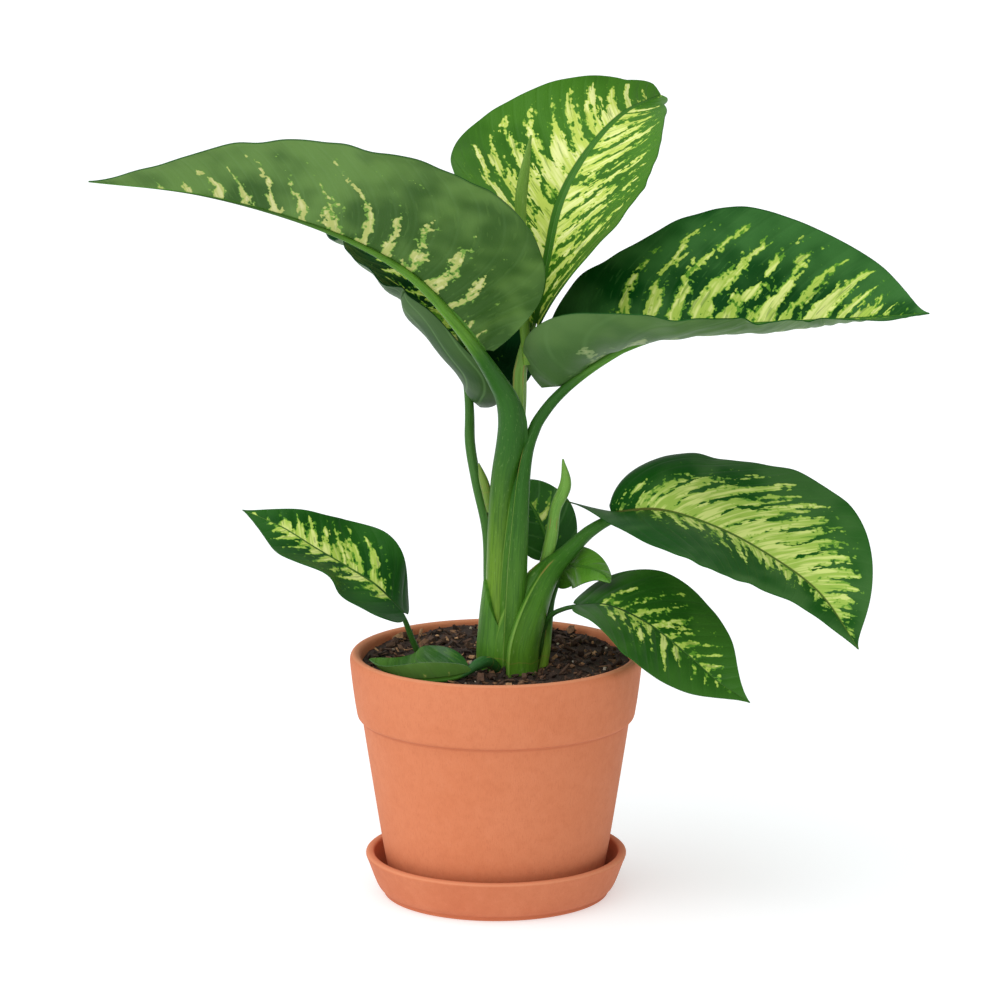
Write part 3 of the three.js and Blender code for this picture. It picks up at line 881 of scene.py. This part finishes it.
def makeStalkGroup():
    # fleshy stalks and sheaths: lengthwise streaks, whitish flecks, pale sheath edges
    g, ask, give = startGroup("stalkFlesh", {
        "Place": None, "Size": None, "Seed": 0.0, "Sheath": 0.6, "Flecks": 0.35, "Streaks": 0.45,
        "Low": (122, 162, 48), "High": (44, 96, 24), "Rib": (72, 124, 34), "Rib End": (72, 124, 34),
        "Edge": (130, 166, 72), "Fleck": (132, 168, 92), "Dark": (34, 82, 20), "Scar": (148, 124, 66),
    })
    place = parted(g, ask["Place"])
    along = times(g, parted(g, ask["Size"])[1], 1000.0)
    angle = times(g, place[0], math.pi)
    t = place[1]

    def roundGrain(around, lengthwise, shift, detail):
        # the same on both sides of the seam, because it follows the circle
        spot = joined(
            g, times(g, calc(g, "COSINE", angle), around), times(g, calc(g, "SINE", angle), around),
            timesPlus(g, along, lengthwise, plus(g, ask["Seed"], shift)),
        )
        return grain(g, spot, 1.0, detail, 0.6)

    streaks = roundGrain(7.0, 0.05, 0.0, 3.0)
    dots = roundGrain(11.0, 0.3, 17.0, 3.0)
    broad = roundGrain(1.0, 0.03, 31.0, 2.0)
    colour = tint(g, step(g, t, 0.1, 0.7), ask["Low"], ask["High"])
    ribTone = tint(g, step(g, t, 1.3, 1.9), ask["Rib"], ask["Rib End"])
    colour = tint(g, step(g, t, 0.95, 1.1), colour, ribTone)
    colour = wash(g, step(g, streaks, 0.42, 0.68), ask["Streaks"], colour, ask["Dark"])
    colour = wash(g, step(g, broad, 0.5, 0.75), 0.4, colour, ask["Dark"])
    colour = wash(g, step(g, dots, 0.6, 0.72), ask["Flecks"], colour, ask["Fleck"])
    offWing = absolute(g, minus(g, absolute(g, angle), stalks["wingAngle"]))
    belowTop = minus(g, ask["Sheath"], t)
    wing = times(g, step(g, offWing, 0.09, 0.03), step(g, belowTop, 0.0, 0.05))
    colour = wash(g, wing, 0.6, colour, ask["Edge"])
    scar = times(g, wing, step(g, belowTop, 0.12, 0.08))
    ringed = calc(g, "PINGPONG", timesPlus(g, broad, 0.6, over(g, along, 7.0)), 0.5)
    ringed = times(g, step(g, ringed, 0.06, 0.02), step(g, along, 18.0, 14.0))
    scar = calc(g, "MAXIMUM", scar, times(g, ringed, 0.4))
    colour = wash(g, scar, 0.8, colour, ask["Scar"])
    height = timesPlus(g, streaks, 0.7, times(g, dots, 0.3))
    endGroup(g, give, Color=colour, Roughness=timesPlus(g, dots, 0.15, 0.34), Height=height)
    return g


bladeGroup = makeBladeGroup()
stalkGroup = makeStalkGroup()


def leafMaterial(name, group, look, depth, gloss):
    material, tree = newMaterial(name)
    place = addNode(tree, "UVMap", uv_map="leafPlace").outputs[0]
    size = addNode(tree, "UVMap", uv_map="leafSize").outputs[0]
    groupSurface(
        tree, group, {"Place": place, "Size": size, **look}, depth, **{"Specular IOR Level": gloss},
    )
    return material


def stalkMaterial(name, look):
    return leafMaterial(name, stalkGroup, look, stalks["grain"] * mm, blades["underGloss"])


def halves(key, left, right=None):
    # the same on both halves where only one number is given
    return {"Left " + key: left, "Right " + key: left if right is None else right}


darkGreens = {
    "Ground": (22, 74, 18), "Ground Light": (38, 92, 26), "Edge": (92, 146, 44),
    "Yellow": (172, 200, 84), "Cream": (222, 232, 142), "Rib": (52, 106, 30),
}
grassGreens = {
    "Ground": (54, 106, 22), "Ground Light": (70, 124, 32), "Edge": (110, 160, 48),
    "Yellow": (184, 208, 92), "Cream": (226, 236, 150), "Rib": (70, 124, 34),
}
paleUnder = {
    "Ground": (72, 112, 44), "Ground Light": (92, 134, 58), "Edge": (112, 154, 62),
    "Yellow": (176, 184, 104), "Cream": (204, 204, 140), "Rib": (80, 132, 42),
    "Line": (104, 142, 84), "Rough": 0.5, "Lines": 0.3, "Flecks": 0.2,
    "Flames": 2.0, "Rags": 1.6, **halves("Spacing", 17.0),
}

# lists run from the blade's base to its tip, in mm and degrees; the stalk's run from the blade down.
# face: where the upper side looks, at base and tip; right and left, seen from the base: how far
# each half folds up from the midrib, and Curl how much more by its edge; lobe: how far its base
# reaches back; sheath: the share of the stalk that is one; upper, under, flesh: the three finishes
leaves = {
    "leafRightLow": {
        "node": "leaf_right_low", "seed": 3.0,
        "spine": [
            [67, 13, 222.6], [94, -3, 228.2], [126, -12, 220.4], [157, -22, 205.6], [185, -42, 187.8],
            [205, -84, 165],
        ],
        "face": [[0.1, -0.55, 0.8], [0.1, -0.55, 0.8]],
        "width": 66, "leftWidth": 68, "lobe": 4, "rightLobe": 26, "rightBase": 2.2, "rightLift": 14,
        "right": [17, 30, 27, 22, 14], "rightCurl": [-22, -11, 0, -5, -8],
        "left": [58, 7, 6, 20, -21], "leftCurl": [-93, -33, -4, 3, -8],
        "wave": 0.3, "quilt": 0.05, "ease": 0.11,
        "stalk": [
            [70, 13, 224], [54, 8, 213], [41, 1, 202], [30, -7, 192], [21, -12, 176], [13.5, -14, 153],
            [12, -14, 131],
        ],
        "radii": [3, 3.8, 5.2, 8, 10.8, 12, 12], "sheath": 0.6, "ribShare": 0.5, "gloss": 0.04,
        "upper": {
            "Ground": (24, 80, 20), "Ground Light": (60, 104, 48), "Edge": (104, 152, 54),
            "Yellow": (160, 192, 84), "Cream": (210, 224, 132), "Rib": (92, 100, 44),
            **halves("Amount", 1.3, 0.5), **halves("Reach", 0.56, 0.36), **halves("Spacing", 12.0),
            "Flames": 0.8, "Taper": 2.0, "Rags": 2.0, "Slits": 2.2, "Rib Width": 1.3, "Bare Base": 0.11,
            "Flecks": 0.0, "Tall": 0.3, "Strokes": 0.8,
        },
        "under": {**paleUnder, **halves("Amount", -0.4, -0.5)},
        "flesh": {"Low": (84, 134, 34), "High": (58, 110, 30)},
    },
    "leafRight": {
        "node": "leaf_right", "seed": 8.0,
        "spine": [
            [40, 10, 300], [65, 1, 320], [105, -2, 334], [157, -4, 338], [204, -18, 343], [243, -68, 355],
        ],
        "face": [[-0.5, -0.2, 0.8], [0, -0.2, 1]],
        "width": 73, "lobe": 8, "rightLobe": 12, "leftBase": 0.65, "lean": (-0.2, 1.5),
        "right": [32, 6, 6, 8, -12], "rightCurl": [115, 56, 38, 26, 6],
        "left": [50, 36, 47, 50, 36], "leftCurl": [-8, -14, 12, 2, -5],
        "pitch": 13, "quilt": 0.35,
        "stalk": [
            [42, 10, 302], [29, 6, 288], [23, 2, 277], [18, -3, 264], [15, -8, 246], [13, -11, 222],
            [11, -11, 188], [10, -9, 131],
        ],
        "radii": [3, 3.4, 4, 5.2, 6.4, 7.2, 8.6, 9.5], "sheath": 0.75, "gloss": 0.04,
        "upper": {
            **darkGreens, "Ground": (12, 66, 18), "Ground Light": (56, 106, 48),
            **halves("Amount", 0.68, 0.0), "Left Reach": 0.52, "Left Spacing": 16.0, "Flames": 2.0,
            "Patches": 0.7, "Rags": 1.6, "Rib Width": 1.2, "Bare Base": 0.16, "Taper": 1.0, "Tall": 0.9,
        },
        "under": {
            **paleUnder, "Ground": (70, 104, 52), "Ground Light": (86, 120, 62), "Edge": (96, 130, 72),
            "Yellow": (126, 150, 92), "Cream": (150, 166, 112), **halves("Amount", -0.8, 0.2),
            "Right Reach": 0.5, "Specks": 0.1, "Flecks": 0.1,
        },
        "flesh": {"Low": (82, 130, 38), "Rib": (90, 144, 48)},
    },
    "leafLeft": {
        "node": "leaf_left", "seed": 14.0,
        "spine": [
            [-7, -23, 325], [-24, -43, 350], [-53, -59, 380], [-98, -76, 405], [-161, -91, 425],
            [-225, -105, 435],
        ],
        "face": [[0.8, 0.6, 0.2], [-0.1, 0.45, 0.9]],
        "width": 67, "leftWidth": 80, "lobe": 4, "leftBase": 0.65, "lean": (-0.3, 1.35),
        "right": [50, 46, 38, 36, 36], "rightCurl": [5, 8, 6, 4, 4],
        "left": [102, 31, 17, 30, 35], "leftCurl": [-73, -3, -5, -16, -24],
        "stalk": [
            [-8, -24, 326], [-2, -13, 310], [5.8, -6, 295], [8.6, -4, 281], [8, -3, 266], [5, -2, 245],
            [3, -1, 215], [2, -1, 180], [1, -2, 155], [1, -2, 131],
        ],
        "radii": [3.9, 4.9, 7, 8.1, 8.1, 8, 8, 8.2, 8.8, 9.4], "sheath": 0.8,
        "ribShare": 1, "ribTaper": 1.9,
        "upper": darkGreens,
        "under": {
            **paleUnder, "Ground": (52, 88, 28), "Ground Light": (94, 130, 60),
            **halves("Amount", -0.1), **halves("Reach", 0.36),
            "Flames": 3.0, "Taper": 1.0, "Tall": 0.6, "Patches": 0.8, "Lines": 0.15,
        },
        "flesh": {"Rib": (94, 144, 40), "Rib End": (58, 94, 32)},
    },
    "leafBackLeft": {
        "node": "leaf_back_left", "seed": 21.0,
        "spine": [
            [-14, 40, 289], [-20, 37, 318], [-30, 52, 338], [-49, 64, 358], [-75, 84, 373],
            [-108, 107, 386],
        ],
        "face": [[0.3, -0.3, 0.9], [0, -0.25, 1]],
        "width": 56, "leftWidth": 64, "lobe": 8,
        "right": [85, 72, 58, 46, 36], "rightCurl": [6, 6, 6, 6, 6],
        "left": [-17, -18, -6, -12, -57], "leftCurl": [156, 113, 53, 57, 31],
        "wave": 0.5, "ripple": 1.4,
        "stalk": [
            [-14, 40, 293], [-15, 33, 278], [-15, 22, 262], [-11, 13, 240], [-5, 8, 212], [-3, 6, 180],
            [0, 4, 131],
        ],
        "radii": [2.5, 3, 3, 3, 4, 5, 6], "sheath": 0.6, "gloss": 0.04,
        "upper": {
            **darkGreens, "Ground": (12, 52, 22), "Ground Light": (22, 66, 30),
            **halves("Amount", 0.5, 0.3), "Left Reach": 0.32, "Rags": 1.8,
        },
        "under": {
            **paleUnder, "Ground": (38, 74, 26), "Ground Light": (66, 98, 48),
            **halves("Amount", -0.8, -0.6), "Lines": 0.8,
        },
        "flesh": {"Low": (70, 118, 40), "High": (62, 110, 38)},
    },
    "leafTop": {
        "node": "leaf_top", "seed": 27.0,
        "spine": [
            [23, 18, 334], [29, 38, 365], [37, 64, 396], [52, 88, 421], [74, 118, 441], [99, 158, 448],
        ],
        "face": [[-0.1, -0.85, 0.5], [0.1, -0.6, 0.8]],
        "width": 68, "leftWidth": 70, "lobe": 8, "leftTip": 1.15, "rightTip": 1.2, "blunt": 0.5,
        "right": [62, 37, 29, 22, 10], "rightCurl": [26, 17, 21, 30, 20],
        "left": [70, 42, 2, -1, 32], "leftCurl": [12, 3, 8, 28, 34], "wave": 0.15,
        "stalk": [
            [24, 21, 339], [17, 17.5, 325], [14, 15, 308], [13.5, 13, 288], [12, 11, 258], [11, 10, 220],
            [10, 8, 131],
        ],
        "radii": [2.5, 4, 4, 4.5, 6, 7, 7], "sheath": 0.9, "ribShare": 0.6,
        "upper": {
            **grassGreens, "Yellow": (196, 216, 96), "Cream": (238, 244, 164), "Rib": (62, 114, 36),
            **halves("Amount", 0.85, 0.75), **halves("Reach", 0.62, 0.66),
            **halves("Spacing", 16.0, 13.0), "Flames": 1.5, "Patches": 1.3, "Rags": 2.4, "Slits": 1.5,
            "Tall": 0.9, "Taper": 1.8, "Rib Width": 3.7, "Bare Base": -0.2, "Strokes": 0.4,
        },
        "under": {**paleUnder, **halves("Amount", -0.3)},
        "flesh": {"High": (124, 166, 74), "Low": (116, 160, 66), "Streaks": 0.25},
    },
    "leafRightSmall": {
        "node": "leaf_right_small", "seed": 33.0,
        "spine": [
            [47, -23, 177], [65, -25, 177], [88, -30, 167], [110, -39, 151], [128, -49, 137],
            [145, -63, 129],
        ],
        "face": [[0.1, -0.6, 0.8], [0.1, -0.6, 0.8]],
        "width": 40, "lobe": 3, "wave": 0.4,
        "right": [35, 22, 17, 7, 3], "rightCurl": [6, 1, 4, -2, -1],
        "left": [-30, -4, -1, 10, 23], "leftCurl": [-9, 4, -5, 0, 3],
        "stalk": [[50, -23, 177], [40, -20, 174], [31, -15, 168], [26, -9, 155], [25, -4, 131]],
        "radii": [1.2, 1.4, 1.8, 2.4, 3], "sheath": 0.5,
        "upper": {
            **darkGreens, "Ground": (36, 86, 22), "Ground Light": (56, 104, 34), "Rib": (34, 76, 22),
            **halves("Amount", 0.3, 0.15), **halves("Reach", 0.5, 0.45), **halves("Spacing", 10.0),
            "Rags": 1.9, "Taper": 1.0, "Rib Width": 0.8,
        },
        "under": {**paleUnder, **halves("Amount", -0.5)},
        "flesh": {"High": (38, 76, 24), "Low": (50, 88, 30), "Rib": (34, 76, 22)},
    },
    "leafCurled": {
        "node": "leaf_curled", "seed": 39.0,
        "spine": [[35, 9, 181], [38, 8, 190], [45, 3, 194], [54, -6, 195], [62, -14, 193], [66, -19, 189]],
        "face": [[-0.6, -0.6, 0.5], [0.5, -0.5, 0.7]],
        "width": 13.5, "lobe": 1, "leftTip": 0.8, "rightTip": 0.7, "ripple": 0, "ease": 0.12,
        "right": [0, -10, -15, -15, -15], "rightCurl": [-20, -20, -20, -20, -20],
        "left": [20, 10, 5, 0, -5], "leftCurl": [-10, -10, -15, -15, -15],
        "stalk": [[35, 9, 182], [32, 5, 172], [30, 0, 160], [28, -6, 146], [25, -8, 131]],
        "radii": [1.6, 2.2, 3, 3.6, 4], "sheath": 0.5, "gloss": 0.5,
        "upper": {
            **grassGreens, "Ground": (70, 124, 32), "Ground Light": (92, 146, 46),
            **halves("Amount", -0.9), "Rough": 0.26,
        },
        "under": {**paleUnder, **halves("Amount", 0.0), "Rough": 0.34},
        "flesh": {},
    },
    "leafBack": {
        "node": "leaf_back", "seed": 45.0,
        "spine": [[30, 30, 194], [29, 33, 205], [24, 37, 216], [18, 41, 225], [10, 44, 232], [3, 46, 237]],
        "face": [[0, -0.9, 0.4], [0.3, -0.9, 0.4]],
        "width": 21, "lobe": 3,
        "right": [15, 12, 10, 8, 5], "rightCurl": [5, 5, 5, 5, 5],
        "left": [15, 12, 10, 8, 5], "leftCurl": [5, 5, 5, 5, 5],
        "stalk": [[30, 30, 196], [29, 25, 182], [26, 18, 160], [22, 13, 131]],
        "radii": [1.4, 2, 2.5, 3], "sheath": 0.5,
        "upper": {
            **darkGreens, "Ground": (34, 86, 24), "Ground Light": (50, 102, 34),
            **halves("Amount", -0.6, 0.1), "Lines": 0.5, "Right Spacing": 8.0,
        },
        "under": {**paleUnder, **halves("Amount", -0.9)},
        "flesh": {},
    },
    "leafLeftSmall": {
        "node": "leaf_left_small", "seed": 51.0,
        "spine": [
            [-53, -21, 172], [-68, -20, 187], [-84, -17, 197], [-104, -16, 209], [-124, -9, 220],
            [-147, 0, 228],
        ],
        "face": [[0.1, -0.6, 0.8], [0.1, -0.6, 0.8]],
        "width": 33, "lobe": 3, "wave": 0.4,
        "right": [-32, 2, -2, 3, 18], "rightCurl": [-9, 10, -5, -2, 4],
        "left": [20, 14, 19, 0, -17], "leftCurl": [22, 17, 28, 16, 13],
        "stalk": [[-55, -21, 174], [-51, -16, 162], [-47, -11, 150], [-42, -6, 138], [-36, -3, 126]],
        "radii": [1.2, 1.6, 1.8, 2, 2.4], "sheath": 0.3,
        "upper": {
            **darkGreens, "Rib": (34, 76, 22), **halves("Amount", 0.75),
            **halves("Reach", 0.35, 0.5), **halves("Spacing", 9.0, 10.0),
            "Rags": 1.6, "Taper": 1.0, "Tall": 0.8, "Rib Width": 0.8,
        },
        "under": {**paleUnder, **halves("Amount", -0.6)},
        "flesh": {"High": (50, 92, 34), "Low": (60, 104, 38)},
    },
    "leafOnSoil": {
        "node": "leaf_on_soil", "seed": 57.0,
        "spine": [
            [-16, -36, 139], [-28, -39, 137.5], [-41, -41, 137], [-53, -40, 138], [-64, -35, 141],
            [-73, -27, 146],
        ],
        "face": [[0, -0.1, 1], [0.1, -0.1, 1]],
        "width": 29, "leftWidth": 11, "rightTip": 0.75, "lobe": 2, "wave": 0.3,
        "right": [34, 24, 21, 18, 14], "rightCurl": [0, 0, 0, 0, 0],
        "left": [74, 78, 74, 60, 34], "leftCurl": [12, 16, 16, 8, 0],
        "stalk": [[-17, -36, 139], [-12, -33, 143], [-5, -27, 144], [1, -18, 137]],
        "radii": [1.6, 3.4, 3.2, 2.4], "sheath": 0.5, "gloss": 0.4,
        "upper": {
            **darkGreens, "Ground": (36, 84, 26), "Ground Light": (78, 122, 44),
            "Yellow": (110, 150, 40), "Cream": (140, 172, 54), **halves("Amount", -0.7),
            "Rough": 0.26,
        },
        "under": {**paleUnder, "Ground": (92, 140, 58), **halves("Amount", -0.9)},
        "flesh": {"Low": (40, 92, 40), "High": (44, 96, 44)},
    },
}

for name, own in leaves.items():
    leaf = {**anyLeaf, **own}
    lean, leanMore = leaf["lean"]
    veins = {
        "Seed": leaf["seed"], "Pitch": leaf["pitch"], "Lean": lean, "Lean More": leanMore,
        "Length": float(evenly(leaf["spine"], [1.0])[1]),
    }
    depth = blades["grain"] * mm
    skins = [
        leafMaterial(name + "Upper", bladeGroup, {**veins, **leaf["upper"]}, depth, leaf["gloss"]),
        leafMaterial(name + "Under", bladeGroup, {**veins, **leaf["under"]}, depth, blades["underGloss"]),
        stalkMaterial(name + "Stalk", {"Seed": leaf["seed"], "Sheath": leaf["sheath"], **leaf["flesh"]}),
    ]
    blade = gridPiece(name, blades["columns"], blades["rows"], bladeShape(leaf))
    body = blade.modifiers.new("body", "SOLIDIFY")
    body.thickness = blades["thickness"] * mm
    body.offset = -1
    body.material_offset = 1
    rodPlaces = rodShape(*rodLine(leaf), leaf["sheath"])
    rod = gridPiece(name + "Rod", stalks["columns"], stalks["rows"], rodPlaces)
    closeSeams(rod)
    rod.data.polygons.foreach_set("material_index", [2] * len(rod.data.polygons))
    for material in skins:
        blade.data.materials.append(material)
        rod.data.materials.append(material)
    applyModifiers(blade)
    selectOnly(blade, rod)
    bpy.ops.object.join()
    smooth(blade, 50)
    finished(blade, "leaf_green", leaf["node"])
print("leaves made")


oldSheath = {
    "path": [[0.5, -3, 130], [0.5, -3, 150], [1, -2.5, 170], [2, -2, 190]],
    "radii": [12.4, 11.8, 10.4, 8.9],
    "rim": (150, 187),   # mm, lowest and highest
    "peak": 180,         # degrees round from the right, where it is highest
    "columns": 48,
    "rows": 60,
    "look": {"Seed": 75.0, "Low": (84, 136, 40), "High": (70, 122, 36), "Sheath": -1.0},
}


def sheathShape(sheath):
    # a sleeve round the stems with a slanting rim; its first and last rows draw in to a point
    middleX, middleY, levels = np.array(sheath["path"], float).T
    low, high = sheath["rim"]

    def shape(c, s):
        angle = np.pi * c
        rim = low + (high - low) * (0.5 + 0.5 * np.cos(angle - math.radians(sheath["peak"]))) ** 1.5
        rise = np.clip(s / 0.93, 0, 1)
        z = levels[0] + (rim - levels[0]) * rise
        radius = np.interp(z, levels, sheath["radii"])
        radius = radius * np.clip((1 - s) / 0.07, 0, 1) * np.clip(s / 0.01, 0, 1)
        x = np.interp(z, levels, middleX) + radius * np.cos(angle)
        y = np.interp(z, levels, middleY) + radius * np.sin(angle)
        where = np.stack([x, y, z], 1)
        return where, np.stack([c, rise * 0.35], 1), np.stack([angle * 10, z - levels[0]], 1)
    return shape


sleeve = gridPiece("oldSheath", oldSheath["columns"], oldSheath["rows"], sheathShape(oldSheath))
closeSeams(sleeve)
sleeve.data.materials.append(stalkMaterial("oldSheathSkin", oldSheath["look"]))
smooth(sleeve, 40)
finished(sleeve, "leaf_green")


# a pale ear of a sheath, and the two leaves that are still rolled
rolled = {
    "sheathEar": {
        "path": [[-3, 3, 226], [-5.5, 4, 238], [-8, 5, 247], [-10, 6, 254]],
        "radii": [2.4, 2.8, 2.5, 0.4],
        "slot": "leaf_green", "nodes": [],
        "look": {
            "Seed": 79.0, "Low": (110, 140, 56), "High": (120, 148, 60),
            "Rib": (120, 140, 60), "Dark": (76, 112, 36),
        },
    },
    "rolledLeafTop": {
        "path": [[18, 4, 312], [16, 3, 340], [14, 3, 370], [14, 4, 400], [15, 5, 415], [20, 6, 445]],
        "radii": [2.5, 3, 3, 3.2, 3.2, 0.5],
        "slot": "young_leaf", "nodes": ["rolled_leaf_top"],
        "look": {
            "Seed": 61.0, "Flecks": 0.6, "Low": (104, 146, 50), "High": (112, 152, 56),
            "Rib": (112, 152, 56), "Fleck": (170, 194, 112), "Dark": (72, 118, 34),
        },
    },
    "rolledLeafLow": {
        "path": [
            [22, 3, 178], [28, 1, 195], [32, -1, 212], [34.5, -1, 229], [40, -1, 243], [38.5, -1, 258],
        ],
        "radii": [2.5, 3.2, 3.7, 3.2, 3.6, 0.5],
        "slot": "young_leaf", "nodes": ["rolled_leaf_low"],
        "look": {
            "Seed": 67.0, "Flecks": 0.7, "Low": (108, 156, 60), "High": (114, 162, 66),
            "Rib": (114, 162, 66), "Fleck": (182, 206, 132), "Dark": (70, 124, 40),
        },
    },
}
rollRows = 90
towardsViewer = np.array([0.0, -1.0, 0.0])

for name, roll in rolled.items():
    shares = np.linspace(0, 1, stalks["points"])
    line, _ = evenly(roll["path"], shares)
    thick = curveAt(roll["radii"], shares)
    shape = rodShape(line, thick, len(line) - 2, towardsViewer, sheath=0)
    piece = gridPiece(name, stalks["columns"], rollRows, shape)
    closeSeams(piece)
    piece.data.materials.append(stalkMaterial(name + "Skin", roll["look"]))
    smooth(piece, 50)
    finished(piece, roll["slot"], *roll["nodes"])
print("rolled leaves made")

# the cane is hidden by the sheaths; it keeps the CAD's shape and takes the stalks' look
caneSkin, tree = newMaterial("caneSkin")
spot = addNode(tree, "TexCoord").outputs["Object"]
place = addNode(tree, "Mapping", {"Vector": spot, "Scale": (8.0, 8.0, 4.0)}).outputs[0]
caneLook = {"Place": place, "Size": place, "Seed": 71.0, "Sheath": -1.0}
groupSurface(tree, stalkGroup, caneLook, stalks["grain"] * mm)
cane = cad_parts["cane"]
cane.data.materials.clear()
cane.data.materials.append(caneSkin)
print("cane coloured")
